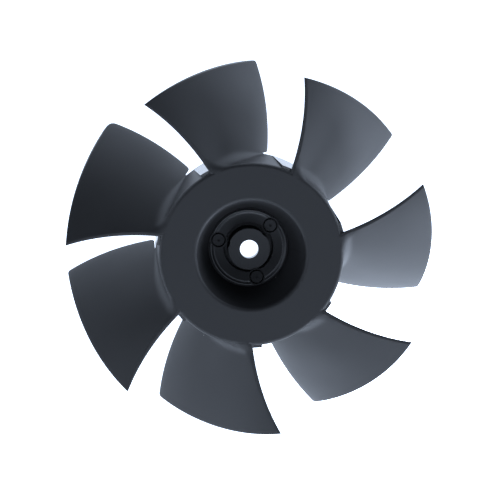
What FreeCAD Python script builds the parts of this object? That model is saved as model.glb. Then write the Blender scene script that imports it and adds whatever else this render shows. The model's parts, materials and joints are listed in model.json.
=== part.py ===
"""Axial blower wheel: seven swept aerofoil blades on a drum-shaped hub with a deep front recess.

Millimetres. The wheel's axis is Z. Z = 0 is the front face of the centre boss, +Z is the front
of the wheel (the side with the recess), and the shaft comes in from the rear, along +Z.
Every region of the moulding that has its own wall, job or surface is a closed solid of its own,
and neighbours meet face to face.
"""
import FreeCAD
import Part
import math
import os

Vec = FreeCAD.Vector
AXIS = Vec(0, 0, 1)
ORIGIN = Vec(0, 0, 0)

# --- Whole wheel -------------------------------------------------------------------------
BLADES = 7
TIP_R = 80.0                # 160 mm wheel
FRONT_Z = 15.9              # plane of the hub's front face and the blades' front edges
REAR_Z = -25.9              # plane of the blades' rear edges

# --- Hub drum ----------------------------------------------------------------------------
HUB_R_FRONT = 39.9          # side wall, drafted 0.7 degrees so that it leaves its mould half
HUB_R_RIM = 40.3
RIM_Z = -16.8               # open rear rim of the drum
FACE_T = 2.2                # thickness of the annular front face
WALL_T = 2.3                # side wall
SHOULDER_R = 1.6            # rounding of the front outer edge

# --- Front recess --------------------------------------------------------------------------
RECESS_R = 23.65            # mouth of the conical recess, in the front face
RECESS_EDGE_R = 1.9
RECESS_FLOOR_R = 17.4       # foot of the cone
RECESS_FOOT_Z = -5.6
CONE_T = 2.1                # radial thickness of the cone wall
FLOOR_TOP_Z = -4.75
FLOOR_BOTTOM_Z = -7.4
LIP_R_IN = 14.85            # low bead round the floor: a gentle hollow rise inside, steep outside
LIP_R_OUT = 16.85
LIP_TOP_Z = -4.2
LIP_FOOT_RISE = 0.08
LIP_FLARE_R = 2.0           # hollow curve of its inner side
LIP_FLARE_DEG = 33.0        # slope where that curve ends
LIP_FLARE_STEPS = 6
LIP_ROUND = 0.3

# --- Centre boss ---------------------------------------------------------------------------
BOSS_R = 9.05
BORE_R = 4.0                # 8 mm shaft
BORE_L = 4.2
COUNTERBORE_R = 5.5
GROOVE_R = 10.65            # outer edge of the groove round the boss
GROOVE_EDGE_R = 0.5
COLLAR_R = 12.6             # collar that carries the groove down behind the floor
BOSS_BACK_Z = -11.4
WEB_T = 1.4                 # web at the bottom of the groove

# --- Three gate pads on the floor -----------------------------------------------------------
PADS = 3
PAD_PITCH_R = 13.54
PAD_FIRST_DEG = 45.4
PAD_R = 2.6
PAD_WELL_R = 3.2
PAD_WELL_Z = -8.6
PAD_TOP_Z = -4.65
PAD_COLUMN_R = 3.7
PAD_CLEAR_R = 4.85          # the boss is scalloped this far from each pad's centre
PAD_PIT_R = 0.6
PAD_PIT_DEPTH = 0.9

# --- Stiffening ribs behind the face ----------------------------------------------------------
RIB_T = 1.4
RIB_SKIRT_Z = -1.0          # where a rib's lower edge meets the side wall

# --- Blades: angles in degrees, counter-clockwise seen from the front ---------------------------
FRONT_EDGE_TIP_DEG = 125.0  # front edge at the tip, blade 1
REAR_EDGE_TIP_DEG = 86.85   # rear edge at the tip
FRONT_SWEEP = (0.2735, 0.00114)     # degrees per mm inward from the tip, and per mm squared
REAR_SWEEP = (0.2922, 0.00078)
CAMBER = 4.2                # rise of the mean line towards the front, along Z
THICK_MAX = 4.2
THICK_AT = 0.70             # of the way from front edge to rear edge
EDGE_T_ROOT = 1.5           # square front edge
EDGE_T_TIP = 0.8
STATIONS = 7                # flat sections from inside the hub wall to outside the tip
SECTION_POINTS = 10
STATION_IN = 34.0           # distance of the first and last section plane from the axis
STATION_OUT = 81.0

# --- Raised land on the hub wall behind each blade ------------------------------------------------
LAND_RISE_FRONT = 1.1
LAND_RISE_RIM = 0.15
LAND_TOP_Z = 14.3
LAND_STEP_DEG = (6.4, 9.6)  # step line, from the blade's front edge: at the front, at the rim
LAND_LEVELS = 8


def revolve(points):
    """Solid of revolution about Z from a closed (radius, z) outline."""
    corners = [Vec(r, 0, z) for r, z in points]
    face = Part.Face(Part.makePolygon(corners + corners[:1]))
    return face.revolve(ORIGIN, AXIS, 360)


def round_edges(shape, radius, r, z):
    """Round the circular edges that lie at radius r and height z."""
    chosen = [
        e for e in shape.Edges
        if isinstance(e.Curve, Part.Circle)
        and abs(e.Curve.Radius - r) < 0.01 and abs(e.Curve.Center.z - z) < 0.01
    ]
    return shape.makeFillet(radius, chosen)


def turned(shape, degrees):
    """A copy of the shape turned about the wheel's axis."""
    copy = shape.copy()
    copy.rotate(ORIGIN, AXIS, degrees)
    return copy


def along(z, z0, r0, z1, r1):
    """Radius at height z on the straight line from (r0, z0) to (r1, z1)."""
    return r0 + (r1 - r0) * (z - z0) / (z1 - z0)


def hub_r(z):
    """Outer radius of the drafted side wall."""
    return along(z, FRONT_Z, HUB_R_FRONT, RIM_Z, HUB_R_RIM)


def land_r(z):
    """Outer radius of the raised lands, drafted the other way."""
    return hub_r(z) + along(z, LAND_TOP_Z, LAND_RISE_FRONT, RIM_Z, LAND_RISE_RIM)


def recess_r(z):
    """Radius of the conical recess."""
    return along(z, FRONT_Z, RECESS_R, RECESS_FOOT_Z, RECESS_FLOOR_R)


def pad_centre(index):
    """Centre of a gate pad in plan."""
    angle = math.radians(PAD_FIRST_DEG + index * 360.0 / PADS)
    return PAD_PITCH_R * math.cos(angle), PAD_PITCH_R * math.sin(angle)


def pad_cylinders(radius, z0, z1):
    """One cylinder at each gate pad."""
    cylinders = []
    for index in range(PADS):
        x, y = pad_centre(index)
        cylinders.append(Part.makeCylinder(radius, z1 - z0, Vec(x, y, z0), AXIS))
    return cylinders


# --- Hub pieces --------------------------------------------------------------------------------
FACE_BACK_Z = FRONT_Z - FACE_T


def hub_face():
    ring = revolve([
        (recess_r(FACE_BACK_Z), FACE_BACK_Z), (hub_r(FACE_BACK_Z), FACE_BACK_Z),
        (HUB_R_FRONT, FRONT_Z), (RECESS_R, FRONT_Z),
    ])
    ring = round_edges(ring, SHOULDER_R, HUB_R_FRONT, FRONT_Z)
    return round_edges(ring, RECESS_EDGE_R, RECESS_R, FRONT_Z)


def skirt_inner_r(z):
    top_r = hub_r(FACE_BACK_Z) - WALL_T
    return along(z, FACE_BACK_Z, top_r, RIM_Z, HUB_R_RIM - WALL_T)


def hub_skirt():
    return revolve([
        (skirt_inner_r(RIM_Z), RIM_Z), (HUB_R_RIM, RIM_Z),
        (hub_r(FACE_BACK_Z), FACE_BACK_Z), (skirt_inner_r(FACE_BACK_Z), FACE_BACK_Z),
    ])


def recess_cone():
    return revolve([
        (RECESS_FLOOR_R, RECESS_FOOT_Z), (RECESS_FLOOR_R + CONE_T, RECESS_FOOT_Z),
        (recess_r(FACE_BACK_Z) + CONE_T, FACE_BACK_Z), (recess_r(FACE_BACK_Z), FACE_BACK_Z),
    ])


def recess_floor():
    """Floor plate, its collar, and the three gate columns, which bulge into the groove."""
    plate = revolve([
        (GROOVE_R, BOSS_BACK_Z), (COLLAR_R, BOSS_BACK_Z), (COLLAR_R, FLOOR_BOTTOM_Z),
        (RECESS_FLOOR_R + CONE_T, FLOOR_BOTTOM_Z), (RECESS_FLOOR_R + CONE_T, RECESS_FOOT_Z),
        (LIP_R_OUT, RECESS_FOOT_Z), (LIP_R_OUT, FLOOR_TOP_Z), (GROOVE_R, FLOOR_TOP_Z),
    ])
    plate = round_edges(plate, GROOVE_EDGE_R, GROOVE_R, FLOOR_TOP_Z)
    plate = plate.fuse(pad_cylinders(PAD_COLUMN_R, BOSS_BACK_Z, FLOOR_TOP_Z)).removeSplitter()
    return plate.cut(pad_cylinders(PAD_WELL_R, PAD_WELL_Z, FRONT_Z))


def floor_lip():
    """Rounded bead on the floor, broken at the three gate columns."""
    flare = []
    for i in range(LIP_FLARE_STEPS + 1):
        slope = math.radians(LIP_FLARE_DEG * i / LIP_FLARE_STEPS)
        rise = LIP_FOOT_RISE + LIP_FLARE_R * (1 - math.cos(slope))
        flare.append((LIP_R_IN + LIP_FLARE_R * math.sin(slope), FLOOR_TOP_Z + rise))
    crest_r = flare[-1][0] + (LIP_TOP_Z - flare[-1][1]) / math.tan(math.radians(LIP_FLARE_DEG))
    bead = revolve([
        (LIP_R_IN, FLOOR_TOP_Z), *flare, (crest_r, LIP_TOP_Z),
        (LIP_R_OUT, LIP_TOP_Z), (LIP_R_OUT, FLOOR_TOP_Z),
    ])
    bead = round_edges(bead, LIP_ROUND, crest_r, LIP_TOP_Z)
    bead = round_edges(bead, LIP_ROUND, LIP_R_OUT, LIP_TOP_Z)
    return bead.cut(pad_cylinders(PAD_COLUMN_R, FLOOR_TOP_Z - 1, FRONT_Z))


def gate_pad(index):
    """Disc left by a moulding gate, in a round well, with a small pit where the gate broke off."""
    x, y = pad_centre(index)
    disc = Part.makeCylinder(PAD_R, PAD_TOP_Z - PAD_WELL_Z, Vec(x, y, PAD_WELL_Z), AXIS)
    pit = Part.makeCylinder(PAD_PIT_R, PAD_PIT_DEPTH, Vec(x, y, PAD_TOP_Z - PAD_PIT_DEPTH), AXIS)
    return disc.cut(pit)


def centre_boss():
    """Boss with the shaft bore, a counterbore behind it and a shallow scallop beside each pad."""
    boss = revolve([
        (COUNTERBORE_R, BOSS_BACK_Z), (BOSS_R, BOSS_BACK_Z), (BOSS_R, 0),
        (BORE_R, 0), (BORE_R, -BORE_L), (COUNTERBORE_R, -BORE_L),
    ])
    return boss.cut(pad_cylinders(PAD_CLEAR_R, BOSS_BACK_Z - 1, 1))


def boss_web(boss, floor):
    """Thin web at the bottom of the groove: it carries the boss on the floor's collar."""
    web = revolve([
        (COUNTERBORE_R, BOSS_BACK_Z), (GROOVE_R, BOSS_BACK_Z),
        (GROOVE_R, BOSS_BACK_Z + WEB_T), (COUNTERBORE_R, BOSS_BACK_Z + WEB_T),
    ])
    return web.cut([boss, floor])


def rear_rib():
    """Gusset between the back of the recess cone and the side wall, centred on +X."""
    zone = revolve([
        (RECESS_FLOOR_R + CONE_T, FLOOR_BOTTOM_Z), (skirt_inner_r(RIB_SKIRT_Z), RIB_SKIRT_Z),
        (skirt_inner_r(FACE_BACK_Z), FACE_BACK_Z), (recess_r(FACE_BACK_Z) + CONE_T, FACE_BACK_Z),
        (RECESS_FLOOR_R + CONE_T, RECESS_FOOT_Z),
    ])
    slab = Part.makeBox(HUB_R_RIM, RIB_T, FRONT_Z - FLOOR_BOTTOM_Z + 2,
                        Vec(0, -RIB_T / 2, FLOOR_BOTTOM_Z - 1))
    return zone.common(slab)


# --- Blades ----------------------------------------------------------------------------------------
def edge_angle(tip_deg, sweep, r):
    """Angle of a blade edge at radius r: it falls back from the tip towards the root."""
    inward = TIP_R - r
    return math.radians(tip_deg - sweep[0] * inward + sweep[1] * inward ** 2)


def thickness(s, r):
    """Blade thickness: a square front edge, swelling to a rounded nose at the rear edge."""
    outward = (r - HUB_R_FRONT) / (TIP_R - HUB_R_FRONT)
    edge_t = EDGE_T_ROOT + (EDGE_T_TIP - EDGE_T_ROOT) * outward
    if s < THICK_AT:
        return edge_t + (THICK_MAX - edge_t) * (1 - (1 - s / THICK_AT) ** 2)
    return THICK_MAX * math.sqrt(max(0.0, 1 - ((s - THICK_AT) / (1 - THICK_AT)) ** 2))


def mean_line(s, r):
    """Angle, height and slope (dz over arc length) of the mean line, s from front to rear edge."""
    front = edge_angle(FRONT_EDGE_TIP_DEG, FRONT_SWEEP, r)
    rear = edge_angle(REAR_EDGE_TIP_DEG, REAR_SWEEP, r)
    angle = front + (rear - front) * s
    z = FRONT_Z + (REAR_Z - FRONT_Z) * s + CAMBER * 4 * s * (1 - s)
    slope = (REAR_Z - FRONT_Z + CAMBER * 4 * (1 - 2 * s)) / (r * (rear - front))
    return angle, z, slope


def surface_point(s, r, side):
    """Point on the front (side 1) or rear (side -1) surface, on the cylinder of radius r."""
    angle, z, slope = mean_line(s, r)
    half = side * thickness(s, r) / 2
    steep = math.hypot(1, slope)
    angle -= half * slope / steep / r
    z += half / steep
    return Vec(r * math.cos(angle), r * math.sin(angle), z)


MIDDLE = math.radians((FRONT_EDGE_TIP_DEG + REAR_EDGE_TIP_DEG) / 2)
BLADE_AXIS = Vec(math.cos(MIDDLE), math.sin(MIDDLE), 0)


def plane_point(s, side, distance):
    """Point where the surface line at s crosses the plane at this distance along the blade."""
    r = distance
    for _ in range(12):
        point = surface_point(s, r, side)
        r *= distance / point.dot(BLADE_AXIS)
    return surface_point(s, r, side)


def section(distance):
    """Closed flat aerofoil wire, square to the blade's own axis."""
    # Points crowd towards the nose, where the outline turns quickly.
    steps = [math.sin(math.pi / 2 * i / SECTION_POINTS) for i in range(SECTION_POINTS + 1)]
    curves = []
    for side in (1, -1):
        curve = Part.BSplineCurve()
        curve.interpolate([plane_point(s, side, distance) for s in steps])
        curves.append(curve.toShape())
    ends = [plane_point(0, side, distance) for side in (1, -1)]
    square_edge = Part.LineSegment(ends[0], ends[1]).toShape()
    return Part.Wire(Part.__sortEdges__([curves[0], curves[1], square_edge]))


def blade():
    """Blade 1, trimmed to the tip cylinder and to the outside of the hub wall."""
    step = (STATION_OUT - STATION_IN) / (STATIONS - 1)
    wires = [section(STATION_IN + i * step) for i in range(STATIONS)]
    whole = Part.makeLoft(wires, True, False)
    below = REAR_Z - 10
    above = FRONT_Z + 10
    tip = Part.makeCylinder(TIP_R, above - below, Vec(0, 0, below), AXIS)
    core = revolve([
        (0, below), (HUB_R_RIM, below), (HUB_R_RIM, RIM_Z),
        (hub_r(above), above), (0, above),
    ])
    flat = Part.makeBox(4 * TIP_R, 4 * TIP_R, FRONT_Z - REAR_Z, Vec(-2 * TIP_R, -2 * TIP_R, REAR_Z))
    return whole.common(tip).common(flat).cut(core)


def root_land(one_blade):
    """Raised land on the hub wall behind blade 1, from its rear surface to the step line."""
    ring = revolve([
        (HUB_R_RIM, RIM_Z), (land_r(RIM_Z), RIM_Z),
        (land_r(LAND_TOP_Z), LAND_TOP_Z), (hub_r(LAND_TOP_Z), LAND_TOP_Z),
    ])
    inner, outer = HUB_R_FRONT - 8, HUB_R_RIM + 10
    root = edge_angle(FRONT_EDGE_TIP_DEG, FRONT_SWEEP, HUB_R_FRONT)
    levels = []
    for i in range(LAND_LEVELS + 1):
        s = i / LAND_LEVELS
        z = LAND_TOP_Z + 0.5 + (RIM_Z - 1 - LAND_TOP_Z) * s
        step = root + math.radians(along(z, LAND_TOP_Z, LAND_STEP_DEG[0], RIM_Z, LAND_STEP_DEG[1]))
        on_blade = blade_angle_at(z)
        corners = [
            Vec(r * math.cos(a), r * math.sin(a), z)
            for r, a in ((inner, on_blade), (outer, on_blade), (outer, step), (inner, step))
        ]
        levels.append(Part.makePolygon(corners + corners[:1]))
    sector = Part.makeLoft(levels, True, True)
    return ring.common(sector).cut(one_blade)


def blade_angle_at(z):
    """Angle of the blade's mean line where it is at height z, at the hub wall."""
    low, high = 0.0, 1.0
    for _ in range(40):
        mid = (low + high) / 2
        if mean_line(mid, HUB_R_RIM)[1] > z:
            low = mid
        else:
            high = mid
    return mean_line(low, HUB_R_RIM)[0]


def largest_solid(shape):
    """A boolean can leave a crumb beside the wanted solid: keep the solid itself."""
    return max(shape.Solids, key=lambda solid: solid.Volume)


def main():
    os.makedirs("parts", exist_ok=True)
    nodes = {
        "hub_face": hub_face(),
        "hub_skirt": hub_skirt(),
        "recess_cone": recess_cone(),
        "recess_floor": recess_floor(),
        "floor_lip": floor_lip(),
        "centre_boss": centre_boss(),
    }
    nodes["boss_web"] = boss_web(nodes["centre_boss"], nodes["recess_floor"])
    for index in range(PADS):
        nodes[f"gate_pad_{index + 1}"] = gate_pad(index)
    rib = rear_rib()
    one_blade = largest_solid(blade())
    land = largest_solid(root_land(one_blade))
    for index in range(BLADES):
        angle = -index * 360.0 / BLADES
        nodes[f"blade_{index + 1}"] = turned(one_blade, angle)
        nodes[f"blade_root_land_{index + 1}"] = turned(land, angle)
        nodes[f"rear_rib_{index + 1}"] = turned(rib, angle)
    for name, shape in nodes.items():
        print(f"{name:20s} solids {len(shape.Solids)} valid {shape.isValid()} volume {shape.Volume:9.2f}")
        shape.exportStep(f"parts/{name}.step")


main()
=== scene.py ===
"""Looks of the axial blower wheel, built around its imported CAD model.

Metres, in the frame of the part: Z is the wheel's axis and +Z its front. The blades' own shape
is worked out here in millimetres, as in the part's source, and turned into metres at the mesh.
"""

import json
import math

import bpy
from mathutils import Matrix, Vector


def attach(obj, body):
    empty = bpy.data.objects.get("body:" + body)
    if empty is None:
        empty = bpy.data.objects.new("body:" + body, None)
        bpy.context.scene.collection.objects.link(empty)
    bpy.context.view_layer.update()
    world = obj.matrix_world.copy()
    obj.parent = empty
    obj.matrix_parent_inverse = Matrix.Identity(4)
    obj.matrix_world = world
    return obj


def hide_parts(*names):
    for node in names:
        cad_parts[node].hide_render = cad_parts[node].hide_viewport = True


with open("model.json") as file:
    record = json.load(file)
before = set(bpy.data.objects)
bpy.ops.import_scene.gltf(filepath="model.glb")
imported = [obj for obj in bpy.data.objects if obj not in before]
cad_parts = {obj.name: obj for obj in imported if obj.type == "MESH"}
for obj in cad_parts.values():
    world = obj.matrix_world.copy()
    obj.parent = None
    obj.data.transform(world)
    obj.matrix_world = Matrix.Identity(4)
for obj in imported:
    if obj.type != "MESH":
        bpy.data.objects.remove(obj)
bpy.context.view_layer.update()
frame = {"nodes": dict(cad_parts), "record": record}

MM = 0.001
BLADES = 7
BODY = "root"

# --- Wheel, as in the part's source (millimetres, degrees) ---------------------------------------
TIP_R = 80.0
FRONT_Z = 15.9
REAR_Z = -25.9
HUB_R_FRONT = 39.9
HUB_R_RIM = 40.3
RIM_Z = -16.8
SHOULDER_R = 1.6
FRONT_EDGE_TIP_DEG = 125.0
REAR_EDGE_TIP_DEG = 86.85
FRONT_SWEEP = (0.2735, 0.00114)
REAR_SWEEP = (0.2922, 0.00078)
CAMBER = 4.2
THICK_MAX = 4.2
THICK_AT = 0.70
EDGE_T_ROOT = 1.5
EDGE_T_TIP = 0.8
BORE_R = 4.0

# --- What the moulding adds to the plain shape (millimetres) ---------------------------------------
FILLET_FRONT = 4.6          # blend of a blade's front surface into the hub, at its widest
FILLET_RIM = 0.35           # the same where it starts, at the hub's rim
FILLET_GROWS = (-0.05, 0.8) # where it widens, between the hub's rim (0) and its front (1)
FILLET_REAR = 0.9           # blend on the rear surface
SHOULDER_FADE = (1, 8)      # distances from the hub between which the shoulder's rounding dies out
FREE_R = 40.5               # a blade's inner edge behind the rim, where it stands free of the hub
FREE_CORNER = 2.2           # rounding of that edge into the nose
FREE_BAND = 1.6             # depth of the rows along it
TIP_CORNER = 1.3            # rounding of the nose into the tip
CHIPPED_CORNER = 3.2        # the same on the one blade that was nicked
TIP_OUT = 79.99             # just inside the tip circle
TIP_ROUND = 0.35            # rounding along the tip
EDGE_ROUND = 0.25           # rounding of the free inner edge
SINK = 0.03                 # how far a skin's last row dips under the surface it runs out on

# --- Mesh of a blade -------------------------------------------------------------------------------
COLUMNS = 54                # along the chord
ROOT_ROWS = 16              # round the fillet
SPAN_ROWS = 34              # from the fillet to the tip
TIP_ROWS = 4                # round the tip edge
FIRST = 0.016               # station that marks the front edge: column() moves its points on to it
NEXT = 0.006                # step from the front edge to the next station
NOSE_CROWD = 0.02           # start of the sine that crowds the other stations towards the nose
EDGE_STEPS = (0.3, 0.25)    # extra rows across the front edge, as parts of its front and rear half
RISE_FADE = 0.1             # part of the span on which the fillet's last rise dies out
ROOT_BASE = 0.2             # corner between hub and blade, this far out from the hub's front radius
ROOT_INSIDE = 3.0           # rays that look for the fillet start this far inside that corner,
ROOT_REACH = (1.15, 0.6)    # aim at a slanting line this many fillet radii, and this more, from it,
ROOT_PAST = 1.6             # and go on to this many times the distance of that line
ROOT_HALVINGS = 26
CUT_PAST = 0.1              # a station that is well below the front plane at every radius
CUT_HALVINGS = 20
SHARP_DEG = 50              # edges that turn by more are shaded sharp


def hub_r(z):
    return HUB_R_FRONT + (HUB_R_RIM - HUB_R_FRONT) * (FRONT_Z - z) / (FRONT_Z - RIM_Z)


def edge_angle(tip_deg, sweep, r):
    inward = TIP_R - r
    return math.radians(tip_deg - sweep[0] * inward + sweep[1] * inward ** 2)


def thickness(s, r):
    outward = (r - HUB_R_FRONT) / (TIP_R - HUB_R_FRONT)
    edge_t = EDGE_T_ROOT + (EDGE_T_TIP - EDGE_T_ROOT) * outward
    if s < THICK_AT:
        return edge_t + (THICK_MAX - edge_t) * (1 - (1 - s / THICK_AT) ** 2)
    return THICK_MAX * math.sqrt(max(0.0, 1 - ((s - THICK_AT) / (1 - THICK_AT)) ** 2))


def offset_point(s, r, h):
    """Point on the cylinder of radius r, h off the blade's mean line, as (angle, radius, height)."""
    front = edge_angle(FRONT_EDGE_TIP_DEG, FRONT_SWEEP, r)
    rear = edge_angle(REAR_EDGE_TIP_DEG, REAR_SWEEP, r)
    z = FRONT_Z + (REAR_Z - FRONT_Z) * s + CAMBER * 4 * s * (1 - s)
    slope = (REAR_Z - FRONT_Z + CAMBER * 4 * (1 - 2 * s)) / (r * (rear - front))
    steep = math.hypot(1, slope)
    angle = front + (rear - front) * s - h * slope / steep / r
    return angle, r, z + h / steep


def at(angle, r, z):
    return Vector((r * math.cos(angle), r * math.sin(angle), z))


def xyz(polar):
    """The point in metres, kept between the wheel's front and rear planes."""
    angle, r, z = polar
    return at(angle, r, min(max(z, REAR_Z), FRONT_Z)) * MM


def round_union(a, b, k):
    """Signed distance to two solids joined with a fillet of radius k."""
    if k > 0 and a < k and b < k:
        return k - math.hypot(k - a, k - b)
    return min(a, b)


def round_meet(a, b, k):
    """Signed distance to where two solids overlap, with the edge between them rounded by k."""
    if k > 0 and a > -k and b > -k:
        return math.hypot(a + k, b + k) - k
    return max(a, b)


def smooth(x, low, high):
    t = min(max((x - low) / (high - low), 0.0), 1.0)
    return t * t * (3 - 2 * t)


def height_over_rim(s, side):
    """How far up the hub wall a blade's surface meets it: 0 at the rim, 1 at the front."""
    z = offset_point(s, HUB_R_RIM, side * thickness(s, HUB_R_RIM) / 2)[2]
    return (z - RIM_Z) / (FRONT_Z - RIM_Z)


def front_fillet(s):
    """Fillet radius along the root: nothing much at the rim, widest near the front edge."""
    return FILLET_RIM + (FILLET_FRONT - FILLET_RIM) * smooth(height_over_rim(s, 1), *FILLET_GROWS)


def solid_distance(s, r, rise):
    """Signed distance to hub and blade together, at station s and rise above the front surface."""
    z = offset_point(s, r, thickness(s, r) / 2 + rise)[2]
    joined = round_union(r - hub_r(z), rise, front_fillet(s))
    shoulder = SHOULDER_R * (1 - smooth(r - HUB_R_RIM, *SHOULDER_FADE))
    return round_meet(joined, z - FRONT_Z, shoulder)


def root_path(s, steps):
    """(radius, rise) of points from the hub, round the fillet and out on to the blade."""
    reach = front_fillet(s) * ROOT_REACH[0] + ROOT_REACH[1]
    base = HUB_R_FRONT + ROOT_BASE
    origin = (base - ROOT_INSIDE, -ROOT_INSIDE)
    path = []
    for i in range(steps):
        t = i / (steps - 1)
        target = (base + reach * t, reach * (1 - t))
        low, high = 0.0, ROOT_PAST
        for _ in range(ROOT_HALVINGS):
            mid = (low + high) / 2
            r = origin[0] + (target[0] - origin[0]) * mid
            rise = origin[1] + (target[1] - origin[1]) * mid
            if solid_distance(s, r, rise) < 0:
                low = mid
            else:
                high = mid
        path.append((r, rise))
    path[0] = (path[0][0] - SINK, path[0][1] - SINK)
    return path


def build(name, verts, faces):
    mesh = bpy.data.meshes.new(name)
    mesh.from_pydata(verts, [], faces)
    mesh.validate()
    mesh.update()
    piece = bpy.data.objects.new(name, mesh)
    bpy.context.scene.collection.objects.link(piece)
    return piece


def rounded_in(distance, corner):
    """How far a rounded corner cuts in at this distance from the edge."""
    if distance >= corner:
        return 0.0
    return corner - math.sqrt(corner ** 2 - (corner - distance) ** 2)


def chord(r):
    """Straight length from front edge to nose, on the cylinder of radius r."""
    front = edge_angle(FRONT_EDGE_TIP_DEG, FRONT_SWEEP, r)
    rear = edge_angle(REAR_EDGE_TIP_DEG, REAR_SWEEP, r)
    return math.hypot(r * (front - rear), FRONT_Z - REAR_Z)


def front_cut(r):
    """Station where the front surface goes under the front plane, at radius r."""
    low, high = 0.0, CUT_PAST
    for _ in range(CUT_HALVINGS):
        mid = (low + high) / 2
        if offset_point(mid, r, thickness(mid, r) / 2)[2] > FRONT_Z:
            low = mid
        else:
            high = mid
    return high


def inner_rows(s, side):
    """(radius, rise) of the rows next to the hub: a fillet on its wall, or the free edge behind it."""
    if height_over_rim(s, side) < 0:
        start = FREE_R + rounded_in((1 - s) * chord(FREE_R), FREE_CORNER)
        rows = []
        for i in range(ROOT_ROWS):
            out = FREE_BAND * (i / (ROOT_ROWS - 1)) ** 2
            rows.append((start + out, -rounded_in(out, EDGE_ROUND)))
        return rows
    if side > 0:
        return root_path(s, ROOT_ROWS)
    angles = [math.pi / 2 * (1 - i / (ROOT_ROWS - 1)) for i in range(ROOT_ROWS)]
    return [(HUB_R_RIM - SINK + FILLET_REAR * (1 - math.sin(a)), FILLET_REAR * (1 - math.cos(a)))
            for a in angles]


def column(s, side, corner):
    """Polar points of one station, root to tip, on the front (side 1) or rear (-1) surface."""
    inner = inner_rows(s, side)
    start, start_rise = inner[-1]
    top = TIP_OUT - rounded_in((1 - s) * chord(TIP_R), corner)
    outer = top - TIP_ROUND
    points = []
    for i in range(ROOT_ROWS + SPAN_ROWS + TIP_ROWS):
        if i < ROOT_ROWS:
            r, rise = inner[i]
        elif i < ROOT_ROWS + SPAN_ROWS:
            t = (i - ROOT_ROWS + 1) / SPAN_ROWS
            r = start + (outer - start) * t
            rise = start_rise * (1 - smooth(t, 0.0, RISE_FADE))
        else:
            a = math.pi / 2 * (i - ROOT_ROWS - SPAN_ROWS + 1) / TIP_ROWS
            r = outer + TIP_ROUND * math.sin(a)
            rise = -TIP_ROUND * (1 - math.cos(a))
        here = s
        if s == FIRST:      # the front surface starts at the front plane, the rear one at station 0
            here = front_cut(r) if side > 0 else 0.0
        points.append(offset_point(here, r, side * max(thickness(here, r) / 2 + rise, 0.0)))
    return points


def between(a, b, t):
    return tuple(x + (y - x) * t for x, y in zip(a, b))


def blade_loops(corner):
    """Closed loops, root to tip. Each runs nose, front surface, front edge, rear surface, nose."""
    tail = []
    for i in range(COLUMNS + 1):
        along = NOSE_CROWD + (1 - NOSE_CROWD) * i / COLUMNS
        tail.append(math.sin(math.pi / 2 * along))
    stations = sorted({round(s, 6) for s in [FIRST, FIRST + NEXT] + tail})
    front = [column(s, 1, corner) for s in stations]
    rear = [column(s, -1, corner) for s in [FIRST, NEXT] + stations[2:-1]]
    loops = []
    for i in range(ROOT_ROWS + SPAN_ROWS + TIP_ROWS):
        top = front[0][i]
        back = rear[0][i]
        crest = offset_point(0.0, top[1], 0.0)
        crest = (crest[0], crest[1], min(crest[2], top[2]))
        edge = [between(top, crest, EDGE_STEPS[0]), between(crest, top, EDGE_STEPS[0]),
                between(crest, back, EDGE_STEPS[1]), between(back, crest, EDGE_STEPS[1])]
        loops.append([c[i] for c in reversed(front)] + edge + [c[i] for c in rear[1:]])
    return loops


def blade_mesh(name, loops, turn):
    """Skin over the loops, closed at root and tip by a ladder of faces across the blade."""
    spin = Matrix.Rotation(turn, 3, "Z")
    width = len(loops[0])
    verts = [spin @ xyz(point) for loop in loops for point in loop]
    faces = []
    for i in range(len(loops) - 1):
        for j in range(width):
            k = (j + 1) % width
            faces.append((i * width + j, i * width + k, (i + 1) * width + k, (i + 1) * width + j))
    for i in (0, len(loops) - 1):
        left, right = 1, width - 1
        ladder = [(0, left, right)]
        while right - left > 2:
            ladder.append((left, left + 1, right - 1, right))
            left, right = left + 1, right - 1
        if right - left == 2:
            ladder.append((left, left + 1, right))
        for rung in ladder:
            face = [i * width + q for q in rung]
            faces.append(tuple(reversed(face)) if i == 0 else tuple(face))
    return build(name, verts, faces)


# --- Materials -------------------------------------------------------------------------------------
CHARCOAL = (0.0103, 0.0103, 0.0112)
CLOUD_SCALE, CLOUD_DETAIL = 55, 5       # cloudy patches of colour and gloss, some 20 mm across
CLOUD_LOW, CLOUD_HIGH = 0.3, 0.7        # noise values of the darkest and the palest plastic
GLOSS_SPREAD = 0.05                     # roughness either side of a material's own
GRAIN_SCALE, GRAIN_DETAIL = 2600, 2     # the mould's fine grain
GRAIN_DEPTH = 0.00005
DUST = (0.16, 0.16, 0.15, 1)
DUST_SCALE = 75                         # cells for each metre, with one speck in a cell
DUST_SIZE = 0.02                        # a speck's radius, as a part of a cell
BORE_ROUGH = 0.15
BORE_MARGIN = 0.05                      # millimetres outside the bore that are still polished


def scatter_dust(nodes, links, place, clean):
    """Mixes a few pale specks, half a millimetre across at most, into the clean colour."""
    cells = nodes.new("ShaderNodeTexVoronoi")
    cells.inputs["Scale"].default_value = DUST_SCALE
    links.new(place.outputs["Object"], cells.inputs["Vector"])
    speck = nodes.new("ShaderNodeMath")
    speck.operation = "LESS_THAN"
    speck.inputs[1].default_value = DUST_SIZE
    links.new(cells.outputs["Distance"], speck.inputs[0])
    mix = nodes.new("ShaderNodeMix")
    mix.data_type = "RGBA"
    links.new(speck.outputs["Value"], mix.inputs["Factor"])
    links.new(clean, mix.inputs["A"])
    mix.inputs["B"].default_value = DUST
    return mix.outputs["Result"]


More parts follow.
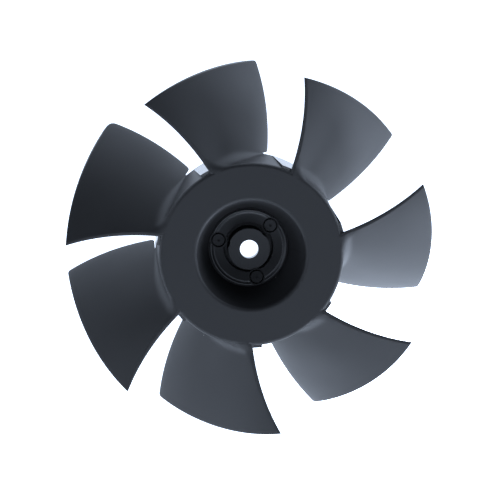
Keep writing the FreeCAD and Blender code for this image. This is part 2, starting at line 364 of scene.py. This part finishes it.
def polish_bore(nodes, links, place, rough):
    """Roughness that drops inside the bore, where a ground core pin formed the wall."""
    flat = nodes.new("ShaderNodeVectorMath")
    flat.operation = "MULTIPLY"
    flat.inputs[1].default_value = (1, 1, 0)
    links.new(place.outputs["Object"], flat.inputs[0])
    reach = nodes.new("ShaderNodeVectorMath")
    reach.operation = "LENGTH"
    links.new(flat.outputs["Vector"], reach.inputs[0])
    outside = nodes.new("ShaderNodeMath")
    outside.operation = "GREATER_THAN"
    outside.inputs[1].default_value = (BORE_R + BORE_MARGIN) * MM
    links.new(reach.outputs["Value"], outside.inputs[0])
    gloss = nodes.new("ShaderNodeMix")
    gloss.data_type = "FLOAT"
    links.new(outside.outputs["Value"], gloss.inputs["Factor"])
    gloss.inputs["A"].default_value = BORE_ROUGH
    links.new(rough, gloss.inputs["B"])
    return gloss.outputs["Result"]


def noise(nodes, links, place, scale, detail):
    texture = nodes.new("ShaderNodeTexNoise")
    texture.inputs["Scale"].default_value = scale
    texture.inputs["Detail"].default_value = detail
    links.new(place.outputs["Object"], texture.inputs["Vector"])
    return texture.outputs["Fac"]


def material(name, rough, grain=0.25, mottle=0.10, bore=False):
    """Fine spark-eroded moulded plastic: cloudy colour, uneven gloss, a fine grain and some dust."""
    mat = bpy.data.materials.new(name)
    mat.use_nodes = True
    nodes, links = mat.node_tree.nodes, mat.node_tree.links
    shader = nodes["Principled BSDF"]
    place = nodes.new("ShaderNodeTexCoord")
    cloud = noise(nodes, links, place, CLOUD_SCALE, CLOUD_DETAIL)
    tint = nodes.new("ShaderNodeValToRGB")
    tint.color_ramp.elements[0].position = CLOUD_LOW
    tint.color_ramp.elements[1].position = CLOUD_HIGH
    tint.color_ramp.elements[0].color = [c * (1 - mottle) for c in CHARCOAL] + [1]
    tint.color_ramp.elements[1].color = [c * (1 + mottle) for c in CHARCOAL] + [1]
    links.new(cloud, tint.inputs["Fac"])
    dusty = scatter_dust(nodes, links, place, tint.outputs["Color"])
    links.new(dusty, shader.inputs["Base Color"])
    gloss = nodes.new("ShaderNodeMapRange")
    gloss.inputs["To Min"].default_value = rough - GLOSS_SPREAD
    gloss.inputs["To Max"].default_value = rough + GLOSS_SPREAD
    links.new(cloud, gloss.inputs["Value"])
    finish = gloss.outputs["Result"]
    if bore:
        finish = polish_bore(nodes, links, place, finish)
    links.new(finish, shader.inputs["Roughness"])
    fine = noise(nodes, links, place, GRAIN_SCALE, GRAIN_DETAIL)
    bump = nodes.new("ShaderNodeBump")
    bump.inputs["Strength"].default_value = grain
    bump.inputs["Distance"].default_value = GRAIN_DEPTH
    links.new(fine, bump.inputs["Height"])
    links.new(bump.outputs["Normal"], shader.inputs["Normal"])
    return mat


def paint(piece, mat):
    piece.data.materials.clear()
    piece.data.materials.append(mat)


slots = {
    "hub_plastic": material("hub plastic", 0.58),
    "recess_plastic": material("recess plastic", 0.68),
    "boss_plastic": material("boss plastic", 0.58, bore=True),
    "blade_plastic": material("blade plastic", 0.58),
    "rib_plastic": material("rib plastic", 0.50),
}
polished = material("rear mould polish", 0.22, grain=0.05)
worn = material("bead rubbed smooth", 0.38, grain=0.10)
for part in frame["record"]["subparts"]:
    node = frame["nodes"][part["node"]]
    finish = slots[part["material_slot"]]
    if "land" in part["node"]:
        finish = polished
    if "lip" in part["node"]:
        finish = worn
    for holder in node.material_slots:
        holder.material = finish

# --- Blades ------------------------------------------------------------------------------------------
whole_loops = blade_loops(TIP_CORNER)
nicked_loops = blade_loops(CHIPPED_CORNER)
for index in range(BLADES):
    loops = nicked_loops if index == BLADES - 1 else whole_loops
    piece = blade_mesh(f"blade_skin_{index + 1}", loops, -math.tau * index / BLADES)
    paint(piece, slots["blade_plastic"])
    piece.data.shade_smooth()
    piece.data.set_sharp_from_angle(angle=math.radians(SHARP_DEG))
    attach(piece, BODY)
    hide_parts(f"blade_{index + 1}")

# --- Stage (metres) ---------------------------------------------------------------------------------
COOL = (0.87, 1.0, 1.22)                # colour of all the light
FLOOR_R = 2.2
FLOOR_SIDES = 96
FLOOR_NEAR, FLOOR_FAR = 0.17, 0.40      # the painted lit patch under the wheel fades between these radii
# glow of the floor inside the painted lit patch, and beyond it
GLOW_NEAR, GLOW_FAR = 1.5, 1.0
PAINTED_POOL = (0.075, -0.060)                  # centre of the brighter pool of light painted on the floor beside the wheel
PAINTED_POOL_NEAR, PAINTED_POOL_FAR = 0.02, 0.085
# extra glow at the centre of the painted pool of light
PAINTED_POOL_GLOW = 2.8
LAMP_R = 1.5                            # distance of every soft light from the wheel's centre
WORLD_STRENGTH = 0.05
AIM_Z = 0.001436                        # height on the axis at which the camera aims
CAMERA_R = 1.35285
CAMERA_LEAN = 9.432                     # degrees from the axis towards +Y
CAMERA_SIDE = 3.648                     # degrees from there towards -X


def fading(nodes, links, place, centre, near, far, inside, outside):
    """A value that goes smoothly from inside to outside between two distances from a centre."""
    reach = nodes.new("ShaderNodeVectorMath")
    reach.operation = "DISTANCE"
    reach.inputs[1].default_value = centre
    links.new(place.outputs["Object"], reach.inputs[0])
    fade = nodes.new("ShaderNodeMapRange")
    fade.interpolation_type = "SMOOTHSTEP"
    fade.inputs["From Min"].default_value = near
    fade.inputs["From Max"].default_value = far
    fade.inputs["To Min"].default_value = inside
    fade.inputs["To Max"].default_value = outside
    links.new(reach.outputs["Value"], fade.inputs["Value"])
    return fade.outputs["Result"]


def floor_material():
    """White light-table plastic that glows: a painted lit patch under the wheel and, brightest, a
    painted pool of light beside it on the lamps' side.
    """
    mat = bpy.data.materials.new("floor white")
    mat.use_nodes = True
    nodes, links = mat.node_tree.nodes, mat.node_tree.links
    shader = nodes["Principled BSDF"]
    shader.inputs["Base Color"].default_value = (0.9, 0.9, 0.9, 1)
    shader.inputs["Roughness"].default_value = 0.9
    shader.inputs["Specular IOR Level"].default_value = 0.0
    shader.inputs["Emission Color"].default_value = (*COOL, 1)
    place = nodes.new("ShaderNodeTexCoord")
    under = (0, 0, REAR_Z * MM)
    beside = (*PAINTED_POOL, REAR_Z * MM)
    # painted lit patch under the wheel, as extra glow of the floor
    painted_patch = fading(nodes, links, place, under, FLOOR_NEAR, FLOOR_FAR, GLOW_NEAR, GLOW_FAR)
    # painted pool of light beside the wheel, as extra glow of the floor
    painted_pool = fading(nodes, links, place, beside, PAINTED_POOL_NEAR, PAINTED_POOL_FAR, PAINTED_POOL_GLOW, 0)
    total = nodes.new("ShaderNodeMath")
    total.operation = "ADD"
    links.new(painted_patch, total.inputs[0])
    links.new(painted_pool, total.inputs[1])
    links.new(total.outputs["Value"], shader.inputs["Emission Strength"])
    return mat


rim = [at(math.tau * i / FLOOR_SIDES, FLOOR_R, REAR_Z * MM) for i in range(FLOOR_SIDES)]
floor = build("floor", rim, [tuple(range(FLOOR_SIDES))])
paint(floor, floor_material())


def softbox(name, azimuth, elevation, power, size=0.8):
    """Round soft light, aimed at the wheel's centre. Angles are in degrees, power is in watts."""
    data = bpy.data.lights.new(name, "AREA")
    data.shape = "DISK"
    data.size = size
    data.energy = power
    data.color = [c / max(COOL) for c in COOL]
    lamp = bpy.data.objects.new(name, data)
    bpy.context.scene.collection.objects.link(lamp)
    up = math.radians(elevation)
    place = at(math.radians(azimuth), math.cos(up), math.sin(up)) * LAMP_R
    lamp.location = place
    lamp.rotation_euler = (-place).to_track_quat("-Z", "Y").to_euler()


softbox("front right low", 315, 5, 19, 0.5)
softbox("right low", 0, 6, 12, 0.6)
softbox("front left low", 225, 6, 10, 0.6)
softbox("rear right low", 45, 8, 5)
softbox("front low", 270, 6, 4)
softbox("front", 270, 42, 9)
softbox("front right", 315, 35, 4)
softbox("left", 180, 35, 6)
softbox("overhead", 0, 90, 4)

world = bpy.data.worlds.new("world")
bpy.context.scene.world = world
world.use_nodes = True
background = world.node_tree.nodes["Background"]
background.inputs["Color"].default_value = (*COOL, 1)
background.inputs["Strength"].default_value = WORLD_STRENGTH

lean = Matrix.Rotation(math.radians(-CAMERA_LEAN), 4, "X")
sideways = Matrix.Rotation(math.radians(-CAMERA_SIDE), 4, "Y")
aim = Matrix.Translation((0, 0, AIM_Z))
away = Matrix.Translation((0, 0, CAMERA_R))
camera = bpy.data.objects.new("camera", bpy.data.cameras.new("camera"))
bpy.context.scene.collection.objects.link(camera)
camera.matrix_world = aim @ sideways @ lean @ away
camera.data.lens = 223.92
camera.data.sensor_width = 36.0
camera.data.shift_x = 0.00127
camera.data.shift_y = -0.0007
camera.data.clip_start = 0.01
camera.data.clip_end = 20
bpy.context.scene.camera = camera
bpy.context.scene.view_settings.view_transform = "Standard"
